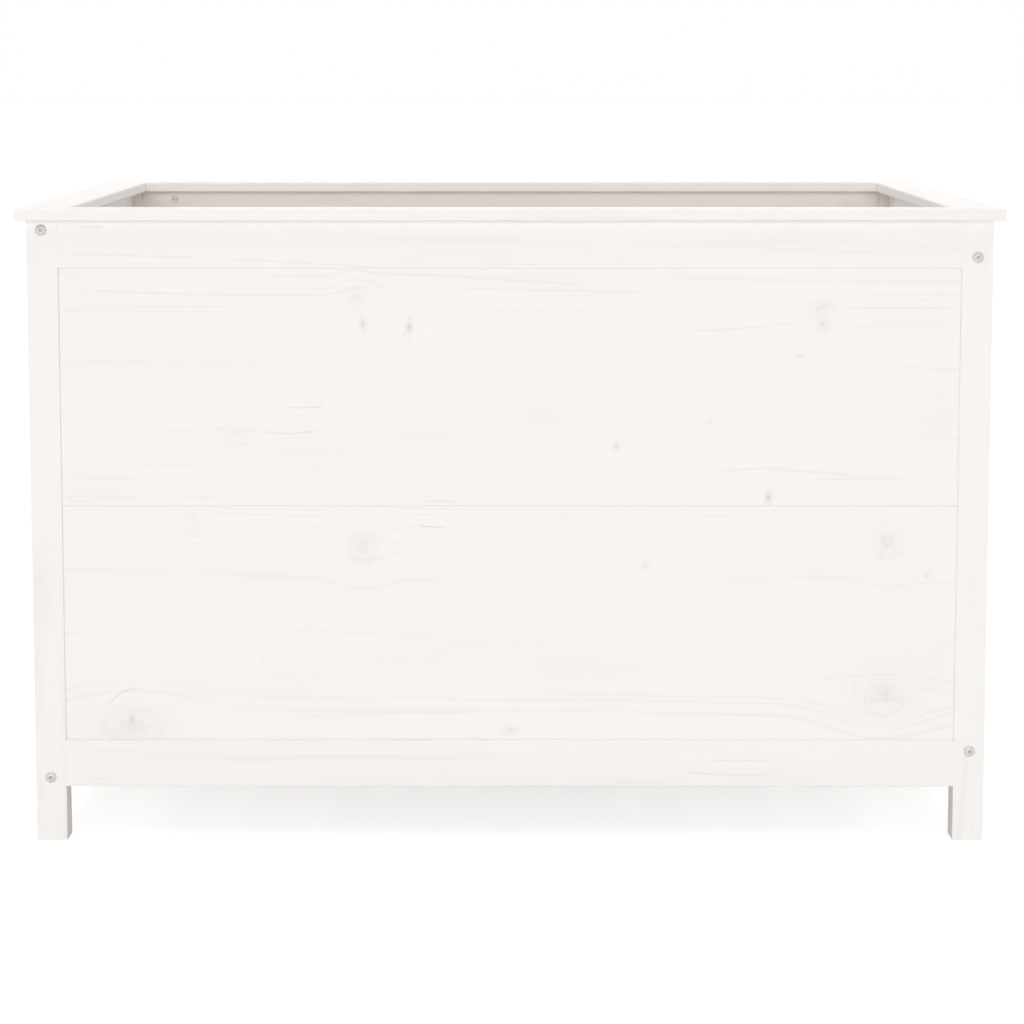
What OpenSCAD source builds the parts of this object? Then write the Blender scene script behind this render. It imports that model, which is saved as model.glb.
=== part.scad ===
// Raised planter box of painted softwood: four square legs, four framed walls of grooved rails
// and wide boards, a flat mitred rim, and a slatted floor on cleats and a bearer.
// Millimetres. The origin is the centre of the footprint on the ground: +X right, -Y front, +Z up.
//
// Every wall is drawn once, in wall coordinates: x runs along the wall, y runs inwards from the
// outer face, z is the height. A quarter turn for each side puts it in its place.

/* [Overall] */
// Width over the rim, left to right
planter_w = 1195; // [900:5:1500]
// Depth over the rim, front to back
planter_d = 825; // [650:5:1100]
// Height from the ground to the top of the rim
planter_h = 780; // [600:5:950]

/* [Legs] */
// Side of the square leg
leg_side = 38; // [36:1:50]
// Height of the bottom rails above the ground
foot_h = 68; // [40:1:150]
// Chamfer on the outer and the inner corner of a leg
leg_arris = 1.5; // [0.5:0.25:3]
// Depth of the leg's grooves, which house the ends of the boards
leg_groove = 8; // [5:0.5:10]

/* [Rails] */
// Height of a rail
rail_h = 58; // [54:1:80]
// Thickness of a rail, from the outer face inwards
rail_t = 25; // [22:0.5:30]
// Depth of the rail's groove, which houses the edge of a board
rail_groove = 6; // [4:0.5:7]
// Chamfer on the long edges of a rail
rail_arris = 1; // [0.5:0.25:2]

/* [Wall boards] */
// Thickness of a wall board
board_t = 14; // [12:0.5:16]
// Chamfer on the faces of two boards where they meet
board_arris = 0.8; // [0.4:0.1:1.5]
// Thickness of the tongue on the lower board
tongue_t = 5; // [4:0.5:6]
// Height of the tongue
tongue_h = 6; // [4:0.5:8]
// Play between a board and each side of its groove
board_play = 0.2; // [0.1:0.05:0.4]
// Room left for swelling at the ends and the top edge of the boards, and over the tongue
swell_gap = 1; // [0.5:0.1:2]

/* [Rim] */
// Width of a rim board
rim_w = 59; // [50:1:80]
// Thickness of a rim board
rim_t = 14; // [12:0.5:20]
// How far the rim stands out past the legs
rim_overhang = 13; // [5:1:20]
// Chamfer on the long edges of the rim boards
rim_arris = 1.5; // [0.5:0.25:3]
// Cut across each outer corner of the rim
rim_corner_cut = 3; // [1:0.5:8]
// Width of the open line at a mitre
mitre_gap = 0.3; // [0.1:0.1:0.6]

/* [Floor] */
// Thickness of a floor slat
slat_t = 18; // [15:1:20]
// Width of a floor slat
slat_w = 92; // [80:1:110]
// Smallest drainage gap between two slats
slat_gap_min = 8; // [6:1:14]
// Gap between the slats and the rails around them
slat_edge_gap = 2; // [1:0.5:4]
// Chamfer on the long edges of a slat
slat_arris = 1.5; // [0.5:0.25:3]
// Thickness of the cleats that carry the slats
cleat_t = 25; // [20:1:30]
// Height of a cleat's lower edge above the lower edge of the rail
cleat_lift = 5; // [0:1:6]
// Length left free at each end of a wall for the bolts and their nuts
cleat_end_gap = 70; // [62:1:90]
// Chamfer on the long edges of the cleats and the bearer
cleat_arris = 1; // [0.5:0.25:2]
// Width of the bearer under the middle of the slats
bearer_w = 45; // [38:1:60]
// Height of the bearer
bearer_h = 38; // [30:1:40]
// Height of the bearer's ends, which lie in notches of the side cleats
lap_h = 18; // [15:1:20]
// Play around the bearer's ends
lap_gap = 0.5; // [0.2:0.1:1]

/* [Bolts and barrel nuts] */
// Diameter of a bolt
bolt_d = 6; // [5:0.5:6]
// Diameter of the bolt's domed head
bolt_head_d = 13.6; // [12:0.1:16]
// Height of the domed head
bolt_head_h = 2.6; // [2.2:0.1:4]
// Height of the straight edge under the dome
bolt_head_edge = 0.6; // [0.4:0.1:1]
// Width across the flats of the bolt's socket
socket_w = 4; // [3:0.5:5]
// Depth of the socket
socket_depth = 1.8; // [1.2:0.1:2]
// Width of the flat around the socket's corners
socket_land = 0.8; // [0.4:0.1:1.2]
// Chamfer at the end of a bolt
bolt_tip = 1; // [0.5:0.25:1.5]
// Length of the bolt past the centre of its nut
bolt_past_nut = 3; // [3:0.5:6]
// Play around a bolt in its hole
bolt_play = 0.25; // [0.1:0.05:0.5]
// Depth from the inner face of a rail to the bolt's centre line
bolt_cover = 6; // [5.5:0.25:7]
// From the free edge of a rail to the bolt at the wall's right-hand end
bolt_edge_outer = 11.5; // [9:0.5:14]
// From the boards' edge of a rail to the bolt at the wall's left-hand end
bolt_edge_inner = 13.5; // [13.5:0.5:16]
// Diameter of a barrel nut
nut_d = 10; // [9:0.5:11]
// Length of a barrel nut
nut_len = 14; // [12:0.5:15]
// Depth of the nut's end below the inner face of the rail
nut_sink = 1; // [0.5:0.25:2]
// From the end of a rail to the centre of the nut
nut_set = 49; // [40:1:52]
// Play around a barrel nut in its hole
nut_play = 0.1; // [0.05:0.05:0.2]
// Width and depth of the slot that turns the nut
nut_slot = 1.4; // [1:0.1:2]

/* [Wood screws] */
// Diameter of a wood screw
screw_d = 4; // [3.5:0.25:4.5]
// Diameter of the countersunk head
screw_head_d = 8; // [7:0.25:9]
// Height of the straight edge of the head
screw_head_edge = 0.4; // [0.2:0.1:0.6]
// Length of the screws in the rim, the cleats and the slats
screw_len = 40; // [35:1:42]
// Length of the screws in the bearer's ends
lap_screw_len = 30; // [25:1:32]
// Length of a screw's pointed tip
screw_tip = 6; // [3:0.5:8]
// Depth of a screw's head below the surface
screw_sink = 0.5; // [0:0.1:1]
// Play around a screw
screw_play = 0.1; // [0.05:0.05:0.2]
// Largest distance between two screws of the rim
rim_screw_pitch = 320; // [200:10:400]
// From the end of a rail to its first rim screw
rim_screw_inset = 90; // [70:1:120]
// From the end of a side cleat to the first screw that holds it
cleat_screw_inset = 25; // [15:1:35]
// From the end of a side cleat to the first slat screw
slat_screw_inset = 60; // [50:1:80]
// Height of the cleat's own screws above its lower edge
cleat_screw_rise = 9; // [7:0.5:10]
// Number of screws that hold a side cleat, half of them on each side of the bearer
side_cleat_screws = 4; // [4:2:6]
// Number of screws in an end slat, half of them on each side of the bearer
end_slat_screws = 4; // [4:2:6]

/* [Hidden] */
SIDES = ["front", "right", "back", "left"];
CORNERS = ["front_left", "front_right", "back_right", "back_left"];
WHITE_PAINT = [0.965, 0.945, 0.93];
ZINC = [0.72, 0.715, 0.70];
$fn = 48;
// Length by which a cutting shape runs past the face that it cuts
past = 1;

// Frame over the outer faces of the legs
frame_w = planter_w - 2 * rim_overhang;
frame_d = planter_d - 2 * rim_overhang;
// Levels of the frame
leg_h = planter_h - rim_t;
bottom_rail_top = foot_h + rail_h;
top_rail_bottom = leg_h - rail_h;
joint_z = (bottom_rail_top + top_rail_bottom) / 2;
// Wall boards: faces in the middle of the rail's thickness, edges in its grooves
board_y = (rail_t - board_t) / 2;
board_mid_y = rail_t / 2;
board_bottom = bottom_rail_top - rail_groove;
board_top = top_rail_bottom + rail_groove - swell_gap;
groove_y = board_y - board_play;
groove_w = board_t + 2 * board_play;
// Bolts: the line of their centres, and their length under the head
bolt_y = rail_t - bolt_cover;
bolt_len = leg_side + nut_set + bolt_past_nut;
bolt_hole_r = bolt_d / 2 + bolt_play;
// Floor: the slats lie level with the top of the bottom rails
floor_top = bottom_rail_top;
floor_under = floor_top - slat_t;
cleat_bottom = foot_h + cleat_lift;
cleat_h = floor_under - cleat_bottom;
cleat_mid_y = rail_t + cleat_t / 2;
floor_w = frame_w - 2 * rail_t;
slat_room = floor_w - 2 * slat_edge_gap;
slat_count = floor((slat_room + slat_gap_min) / (slat_w + slat_gap_min));
slat_pitch = (slat_room - slat_w) / (slat_count - 1);
slat_len = frame_d - 2 * rail_t - 2 * slat_edge_gap;
// Screw heads: the cone is as deep as the head stands out past the shank
screw_cone_h = (screw_head_d - screw_d) / 2;
// A screw hole runs this much deeper than its screw
screw_hole_extra = 1;

// True for the two walls that run left to right
function is_long(side) = side == "front" || side == "back";
// Quarter turn that takes the front wall to a side
function side_turn(side) = 90 * search([side], SIDES)[0];
// Length of a wall between the faces of its legs
function wall_len(side) = (is_long(side) ? frame_w : frame_d) - 2 * leg_side;
// Distance from the centre of the planter to the outer face of a wall
function wall_reach(side) = (is_long(side) ? frame_d : frame_w) / 2;
// Length of the rim along a wall
function rim_len(side) = is_long(side) ? planter_w : planter_d;
// Length of a cleat
function cleat_len(side) = wall_len(side) - 2 * cleat_end_gap;
// Places of n things spread evenly over a span about 0
function spread(n, span) = [for (i = [0 : n - 1]) span * (i / (n - 1) - 0.5)];
// Places of the rim screws along a wall
function rim_screw_places(side) =
    let (span = wall_len(side) - 2 * rim_screw_inset)
    spread(ceil(span / rim_screw_pitch) + 1, span);
// Centre of a slat along the floor, counted from the left
function slat_x(i) = (i - (slat_count + 1) / 2) * slat_pitch;
// Places of the screws that hold a cleat: a long one has them below every other drainage gap
function cleat_screw_places(side) =
    is_long(side)
    ? [for (i = [1 : 2 : slat_count - 1])
        let (x = slat_x(i) + slat_pitch / 2)
        if (abs(x) < cleat_len(side) / 2 - screw_head_d) x]
    : spread(side_cleat_screws, cleat_len(side) - 2 * cleat_screw_inset);
// Places of an end slat's screws along the side cleat under it
function end_slat_screw_places() =
    spread(end_slat_screws, cleat_len("left") - 2 * slat_screw_inset);
// True for the first and the last slat, which lie on the side cleats
function is_end_slat(i) = i == 1 || i == slat_count;
// Floor points, as [x, y], of the screws in one slat
function slat_screw_points(i) =
    let (end_x = sign(slat_x(i)) * (frame_w / 2 - cleat_mid_y), end_y = frame_d / 2 - cleat_mid_y)
    is_end_slat(i)
    ? [for (y = end_slat_screw_places()) [end_x, y]]
    : [for (dx = [-1, 1], y = [-end_y, 0, end_y]) [slat_x(i) + dx * slat_w / 4, y]];

// Puts a wall drawn in wall coordinates on its side of the planter
module on_side(side) {
    rotate([0, 0, side_turn(side)])
        translate([0, -wall_reach(side), 0])
            children();
}

// Draws a section of y and z out along x
module run_along(len) {
    rotate([90, 0, 90])
        linear_extrude(height = len, center = true)
            children();
}

// Section of a plain timber with all four edges chamfered
module timber_section(w, h, arris) {
    polygon([
        [arris, 0], [w - arris, 0], [w, arris], [w, h - arris],
        [w - arris, h], [arris, h], [0, h - arris], [0, arris]
    ]);
}

// Wood screw with its head level with z = 0 and its tip down
module screw(len) {
    head_r = screw_head_d / 2;
    shank_r = screw_d / 2;
    rotate_extrude()
        polygon([
            [0, 0], [head_r, 0], [head_r, -screw_head_edge],
            [shank_r, -screw_head_edge - screw_cone_h],
            [shank_r, screw_tip - len], [0, -len]
        ]);
}

// Hole for a wood screw whose head lies screw_sink below z = 0
module screw_hole(len) {
    head_r = screw_head_d / 2 + screw_play;
    shank_r = screw_d / 2 + screw_play;
    seat = -screw_sink - screw_head_edge;
    end = -screw_sink - len - screw_hole_extra;
    rotate_extrude()
        polygon([
            [0, past], [head_r, past], [head_r, seat],
            [shank_r, seat - screw_cone_h], [shank_r, end], [0, end]
        ]);
}

// Screws, or their holes, that go down through the rim into the top rail of one side
module at_rim_screws(side) {
    for (x = rim_screw_places(side))
        translate([x, board_mid_y, planter_h])
            children();
}

// Screws, or their holes, that go outwards through a cleat into the bottom rail
module at_cleat_screws(side) {
    for (x = cleat_screw_places(side))
        translate([x, rail_t + cleat_t, cleat_bottom + cleat_screw_rise])
            rotate([-90, 0, 0])
                children();
}

// Screws, or their holes, that go down through one slat
module at_slat_screws(i) {
    for (p = slat_screw_points(i))
        translate([p[0], p[1], floor_top])
            children();
}

// Screws, or their holes, that go down through the bearer's ends into the side cleats
module at_bearer_screws() {
    for (end = [-1, 1])
        translate([end * (frame_w / 2 - cleat_mid_y), 0, floor_under])
            children();
}

// Leg: the outer corner is at the origin, and the two grooved faces look along +X and +Y.
// The wall along Y is bolted at the outer levels and the wall along X at the inner levels,
// so that the two bolts of one corner pass above each other.
module leg(corner) {
    turn = 90 * search([corner], CORNERS)[0];
    x_side = corner == "front_left" || corner == "back_left" ? -1 : 1;
    y_side = corner == "front_left" || corner == "front_right" ? -1 : 1;
    color(WHITE_PAINT)
        translate([x_side * frame_w / 2, y_side * frame_d / 2, 0])
            rotate([0, 0, turn])
                difference() {
                    leg_blank();
                    leg_grooves();
                    leg_bolt_holes();
                }
}

module leg_blank() {
    linear_extrude(height = leg_h)
        polygon([
            [leg_arris, 0], [leg_side, 0], [leg_side, leg_side - leg_arris],
            [leg_side - leg_arris, leg_side], [0, leg_side], [0, leg_arris]
        ]);
}

module leg_grooves() {
    groove_h = board_top + swell_gap - board_bottom;
    translate([leg_side - leg_groove, groove_y, board_bottom])
        cube([leg_groove + past, groove_w, groove_h]);
    translate([groove_y, leg_side - leg_groove, board_bottom])
        cube([groove_w, leg_groove + past, groove_h]);
}

module leg_bolt_holes() {
    outer_levels = [foot_h + bolt_edge_outer, leg_h - bolt_edge_outer];
    inner_levels = [bottom_rail_top - bolt_edge_inner, top_rail_bottom + bolt_edge_inner];
    for (z = outer_levels)
        translate([bolt_y, -past, z])
            rotate([-90, 0, 0])
                cylinder(r = bolt_hole_r, h = leg_side + 2 * past);
    for (z = inner_levels)
        translate([-past, bolt_y, z])
            rotate([0, 90, 0])
                cylinder(r = bolt_hole_r, h = leg_side + 2 * past);
}

// Height of a bolt above the free edge of its rail: end is 1 at the wall's right-hand end,
// seen from outside, and -1 at its left-hand end
function bolt_rise(end) = end == 1 ? bolt_edge_outer : rail_h - bolt_edge_inner;

// Rail with its free edge at z = 0 and the boards' groove in its upper edge
module rail(side) {
    len = wall_len(side);
    difference() {
        run_along(len) rail_section();
        for (end = [-1, 1])
            translate([end * len / 2, bolt_y, bolt_rise(end)]) {
                rotate([0, -90 * end, 0])
                    translate([0, 0, -past])
                        cylinder(r = bolt_hole_r, h = bolt_len - leg_side + 2 * past);
                translate([-end * nut_set, bolt_cover, 0])
                    nut_pocket();
            }
    }
}

module rail_section() {
    a = rail_arris;
    floor_z = rail_h - rail_groove;
    polygon([
        [a, 0], [rail_t - a, 0], [rail_t, a], [rail_t, rail_h - a], [rail_t - a, rail_h],
        [groove_y + groove_w, rail_h], [groove_y + groove_w, floor_z],
        [groove_y, floor_z], [groove_y, rail_h],
        [a, rail_h], [0, rail_h - a], [0, a]
    ]);
}

// Hole of a barrel nut, sunk from the rail's inner face at y = 0
module nut_pocket() {
    depth = nut_sink + nut_len + nut_play;
    translate([0, -depth, 0])
        rotate([-90, 0, 0])
            cylinder(r = nut_d / 2 + nut_play, h = depth + past);
}

module bottom_rail(side) {
    color(WHITE_PAINT)
        on_side(side)
            difference() {
                translate([0, 0, foot_h]) rail(side);
                at_cleat_screws(side) screw_hole(screw_len);
            }
}

module top_rail(side) {
    color(WHITE_PAINT)
        on_side(side)
            difference() {
                translate([0, 0, leg_h])
                    mirror([0, 0, 1])
                        rail(side);
                at_rim_screws(side) screw_hole(screw_len);
            }
}

// Length of a wall board, housed in the legs at both ends
function board_len(side) = wall_len(side) + 2 * (leg_groove - swell_gap);

// Lower board, with a tongue on its upper edge
module lower_board(side) {
    a = board_arris;
    y0 = board_y;
    y1 = board_y + board_t;
    t0 = board_mid_y - tongue_t / 2;
    t1 = board_mid_y + tongue_t / 2;
    color(WHITE_PAINT)
        on_side(side)
            run_along(board_len(side))
                polygon([
                    [y0, board_bottom], [y1, board_bottom], [y1, joint_z - a], [y1 - a, joint_z],
                    [t1, joint_z], [t1, joint_z + tongue_h],
                    [t0, joint_z + tongue_h], [t0, joint_z],
                    [y0 + a, joint_z], [y0, joint_z - a]
                ]);
}

// Upper board, with a groove in its lower edge over the tongue
module upper_board(side) {
    a = board_arris;
    y0 = board_y;
    y1 = board_y + board_t;
    g0 = board_mid_y - tongue_t / 2 - board_play;
    g1 = board_mid_y + tongue_t / 2 + board_play;
    groove_top = joint_z + tongue_h + swell_gap;
    color(WHITE_PAINT)
        on_side(side)
            run_along(board_len(side))
                polygon([
                    [y0, joint_z + a], [y0 + a, joint_z],
                    [g0, joint_z], [g0, groove_top], [g1, groove_top], [g1, joint_z],
                    [y1 - a, joint_z], [y1, joint_z + a], [y1, board_top], [y0, board_top]
                ]);
}

// Rim board, mitred at both ends, with the outer corners cut off
module rim_board(side) {
    half = rim_len(side) / 2 - mitre_gap / 2;
    cut = rim_corner_cut;
    color(WHITE_PAINT)
        on_side(side)
            difference() {
                intersection() {
                    run_along(rim_len(side))
                        translate([-rim_overhang, leg_h])
                            timber_section(rim_w, rim_t, rim_arris);
                    translate([0, -rim_overhang, leg_h - past])
                        linear_extrude(height = rim_t + 2 * past)
                            polygon([
                                [-half + cut, 0], [half - cut, 0],
                                [half - cut / 2, cut / 2], [half - rim_w, rim_w],
                                [-half + rim_w, rim_w], [-half + cut / 2, cut / 2]
                            ]);
                }
                at_rim_screws(side) screw_hole(screw_len);
            }
}

// Cleat on the inner face of a bottom rail. The side cleats are notched for the bearer.
module floor_cleat(side) {
    notch_w = bearer_w + 2 * lap_gap;
    color(WHITE_PAINT)
        difference() {
            on_side(side)
                difference() {
                    run_along(cleat_len(side))
                        translate([rail_t, cleat_bottom])
                            timber_section(cleat_t, cleat_h, cleat_arris);
                    if (!is_long(side))
                        translate([-notch_w / 2, rail_t - past, floor_under - lap_h])
                            cube([notch_w, cleat_t + 2 * past, lap_h + past]);
                    at_cleat_screws(side) screw_hole(screw_len);
                }
            for (i = [1 : slat_count])
                at_slat_screws(i) screw_hole(screw_len);
            at_bearer_screws() screw_hole(lap_screw_len);
        }
}

// Bearer from side to side under the middle of the slats, lapped onto the side cleats
module floor_bearer() {
    len = floor_w - 2 * lap_gap;
    lap_len = cleat_t + lap_gap;
    color(WHITE_PAINT)
        difference() {
            run_along(len)
                translate([-bearer_w / 2, floor_under - bearer_h])
                    timber_section(bearer_w, bearer_h, cleat_arris);
            for (end = [-1, 1])
                translate([end * (floor_w / 2), 0, floor_under - lap_h - bearer_h / 2])
                    cube([2 * lap_len, bearer_w + 2 * past, bearer_h], center = true);
            for (i = [1 : slat_count])
                at_slat_screws(i) screw_hole(screw_len);
            at_bearer_screws() screw_hole(lap_screw_len);
        }
}

// Floor slat from front to back, counted from the left. The end slats clear the legs.
module floor_slat(i) {
    color(WHITE_PAINT)
        difference() {
            translate([slat_x(i) - slat_w / 2, 0, floor_under])
                rotate([90, 0, 0])
                    linear_extrude(height = slat_len, center = true)
                        timber_section(slat_w, slat_t, slat_arris);
            if (is_end_slat(i))
                leg_notches();
            at_slat_screws(i) screw_hole(screw_len);
        }
}

// Cuts that keep the end slats clear of the four legs
module leg_notches() {
    for (turn_x = [0, 1], turn_y = [0, 1])
        mirror([turn_x, 0, 0])
            mirror([0, turn_y, 0])
                translate([
                    frame_w / 2 - leg_side - slat_edge_gap,
                    frame_d / 2 - leg_side - slat_edge_gap,
                    floor_under - past
                ])
                    cube([leg_side, leg_side, slat_t + 2 * past]);
}

// Bolt along +Z: the head sits below z = 0 and the shank runs up
module bolt() {
    head_r = bolt_head_d / 2;
    shank_r = bolt_d / 2;
    socket_r = socket_w / 2 / cos(30);
    flat_r = socket_r + socket_land;
    dome_h = bolt_head_h - bolt_head_edge;
    // The dome is a sphere through the head's straight edge and the flat around the socket
    centre_depth = (head_r * head_r - flat_r * flat_r - dome_h * dome_h) / (2 * dome_h);
    dome_r = sqrt(head_r * head_r + centre_depth * centre_depth);
    difference() {
        union() {
            intersection() {
                translate([0, 0, -bolt_head_h])
                    cylinder(r = head_r, h = bolt_head_h);
                translate([0, 0, centre_depth - bolt_head_edge])
                    sphere(r = dome_r);
            }
            cylinder(r = shank_r, h = bolt_len - bolt_tip);
            translate([0, 0, bolt_len - bolt_tip])
                cylinder(r1 = shank_r, r2 = shank_r - bolt_tip, h = bolt_tip);
        }
        translate([0, 0, -bolt_head_h - past])
            cylinder(r = socket_r, h = socket_depth + past, $fn = 6);
    }
}

// The four bolts that hold the rails of one wall
module wall_bolts(side) {
    color(ZINC)
        on_side(side)
            for (end = [-1, 1], z = bolt_levels(end))
                translate([end * (wall_len(side) / 2 + leg_side), bolt_y, z])
                    rotate([0, -90 * end, 0])
                        bolt();
}

// Heights of the two bolts at one end of a wall, in the bottom and in the top rail
function bolt_levels(end) = [foot_h + bolt_rise(end), leg_h - bolt_rise(end)];

// Barrel nut along Y: its slotted end is at y = 0 and its thread crosses at the bolts' depth
module barrel_nut() {
    difference() {
        rotate([90, 0, 0])
            cylinder(d = nut_d, h = nut_len);
        translate([0, nut_sink - bolt_cover, 0])
            rotate([0, 90, 0])
                cylinder(r = bolt_d / 2 + nut_play, h = nut_d + 2 * past, center = true);
        cube([nut_d + 2 * past, 2 * nut_slot, nut_slot], center = true);
    }
}

// The four barrel nuts in the rails of one wall
module barrel_nuts(side) {
    color(ZINC)
        on_side(side)
            for (end = [-1, 1], z = bolt_levels(end))
                translate([end * (wall_len(side) / 2 - nut_set), rail_t - nut_sink, z])
                    barrel_nut();
}

module rim_screws() {
    color(ZINC)
        for (side = SIDES)
            on_side(side)
                at_rim_screws(side)
                    translate([0, 0, -screw_sink])
                        screw(screw_len);
}

module cleat_screws() {
    color(ZINC)
        for (side = SIDES)
            on_side(side)
                at_cleat_screws(side)
                    translate([0, 0, -screw_sink])
                        screw(screw_len);
}

module slat_screws() {
    color(ZINC)
        for (i = [1 : slat_count])
            at_slat_screws(i)
                translate([0, 0, -screw_sink])
                    screw(screw_len);
}

module bearer_screws() {
    color(ZINC)
        at_bearer_screws()
            translate([0, 0, -screw_sink])
                screw(lap_screw_len);
}

for (c = CORNERS)
    leg(c);
for (s = SIDES) {
    bottom_rail(s);
    top_rail(s);
    lower_board(s);
    upper_board(s);
    rim_board(s);
    floor_cleat(s);
    wall_bolts(s);
    barrel_nuts(s);
}
floor_bearer();
for (i = [1 : slat_count])
    floor_slat(i);
rim_screws();
cleat_screws();
slat_screws();
bearer_screws();
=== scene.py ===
"""Looks of a raised planter box of white-painted pine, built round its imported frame.

Everything is in metres and in the frame's own axes: +X right, -Y front, +Z up, with the origin on
the ground under the middle of the planter. The timbers are the frame's own solids with softened
arrises and painted pine on them. The bolts and the wood screws are surfaces worked out here.

A wall is described as in the workshop, seen from outside: x runs along it, y inwards from the
outer face of the legs, and z up. A quarter turn for each side puts it in its place.
"""
import logging
import math
from collections.abc import Callable
from dataclasses import dataclass, field, replace
from enum import Enum

import bmesh
import bpy
import numpy as np
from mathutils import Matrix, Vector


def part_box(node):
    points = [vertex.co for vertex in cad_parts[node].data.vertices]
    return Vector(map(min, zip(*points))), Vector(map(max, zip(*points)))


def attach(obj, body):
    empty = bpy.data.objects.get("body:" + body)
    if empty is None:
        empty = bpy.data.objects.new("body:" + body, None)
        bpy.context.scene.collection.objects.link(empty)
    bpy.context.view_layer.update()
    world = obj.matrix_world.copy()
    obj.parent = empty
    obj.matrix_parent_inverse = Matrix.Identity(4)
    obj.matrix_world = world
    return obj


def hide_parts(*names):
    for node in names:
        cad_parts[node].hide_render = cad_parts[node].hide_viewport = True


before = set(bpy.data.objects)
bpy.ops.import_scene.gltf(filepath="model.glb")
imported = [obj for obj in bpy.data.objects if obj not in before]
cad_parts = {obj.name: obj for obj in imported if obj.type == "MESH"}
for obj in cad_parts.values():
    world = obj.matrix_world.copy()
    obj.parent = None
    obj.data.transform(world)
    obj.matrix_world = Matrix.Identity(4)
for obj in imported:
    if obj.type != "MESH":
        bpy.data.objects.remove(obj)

LOG = logging.getLogger("planter")
BODY = "root"
MM = 0.001
SLATS = sorted((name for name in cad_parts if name.startswith("floor_slat_")), key=len)

Colour = tuple[float, float, float, float]
WHITE: Colour = (1.0, 1.0, 1.0, 1.0)


def srgb(red: float, green: float, blue: float) -> Colour:
    """Turns a colour as a screen shows it into the linear colour that a shader takes.

    Args:
        red: Red, 0 to 255.
        green: Green, 0 to 255.
        blue: Blue, 0 to 255.

    Returns:
        Linear red, green and blue, and an alpha of 1.
    """
    shown = np.array([red, green, blue]) / 255
    linear = np.where(shown <= 0.04045, shown / 12.92, ((shown + 0.055) / 1.055) ** 2.4)
    return (*(float(part) for part in linear), 1.0)


def box(node: str) -> np.ndarray:
    """Lowest and highest corner of a frame node."""
    return np.array([corner[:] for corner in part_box(node)])


def placed(name: str, data: bpy.types.ID) -> bpy.types.Object:
    """Puts a new object in the scene.

    Args:
        name: Name of the object.
        data: Its mesh, lamp or camera.

    Returns:
        The object.
    """
    made = bpy.data.objects.new(name, data)
    bpy.context.scene.collection.objects.link(made)
    return made


# --- Shader graphs ---------------------------------------------------------------------------


def arithmetic(operation: str, reflected: bool = False) -> Callable[..., "Wire"]:
    """Makes the method of one operator of Wire.

    Args:
        operation: Operation of its Math node.
        reflected: True where the number stands on the left.

    Returns:
        The method.
    """

    def method(self: "Wire", *others: "Wire | float") -> "Wire":
        """Adds one Math node over this value and the others."""
        terms = (*others, self) if reflected else (self, *others)
        return self.graph.node("Math", dict(enumerate(terms)), operation=operation)

    return method


class Wire:
    """An output socket that takes part in arithmetic: each operator adds one Math node."""

    def __init__(self, graph: "Graph", socket: bpy.types.NodeSocket) -> None:
        """Holds the socket and the graph that new Math nodes go into."""
        self.graph = graph
        self.socket = socket

    __add__, __radd__ = arithmetic("ADD"), arithmetic("ADD", reflected=True)
    __sub__, __rsub__ = arithmetic("SUBTRACT"), arithmetic("SUBTRACT", reflected=True)
    __mul__, __rmul__ = arithmetic("MULTIPLY"), arithmetic("MULTIPLY", reflected=True)
    __truediv__, __rtruediv__ = arithmetic("DIVIDE"), arithmetic("DIVIDE", reflected=True)
    __abs__ = arithmetic("ABSOLUTE")
    root = arithmetic("SQRT")
    at_least = arithmetic("MAXIMUM")

    def ease(self, start: float, end: float) -> "Wire":
        """Goes smoothly from 0 at start to 1 at end; start may be the larger of the two.

        Args:
            start: Value at which the result is 0.
            end: Value at which the result is 1.

        Returns:
            A value from 0 to 1.
        """
        low, high = min(start, end), max(start, end)
        ends = {3: 0.0, 4: 1.0} if start < end else {3: 1.0, 4: 0.0}
        inputs = {0: self, 1: low, 2: high, **ends}
        return self.graph.node("MapRange", inputs, interpolation_type="SMOOTHSTEP")

    def other(self, name: str) -> "Wire":
        """Another output of the node that this one comes from."""
        return Wire(self.graph, self.socket.node.outputs[name])


Operand = Wire | float | tuple[float, ...]


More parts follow.
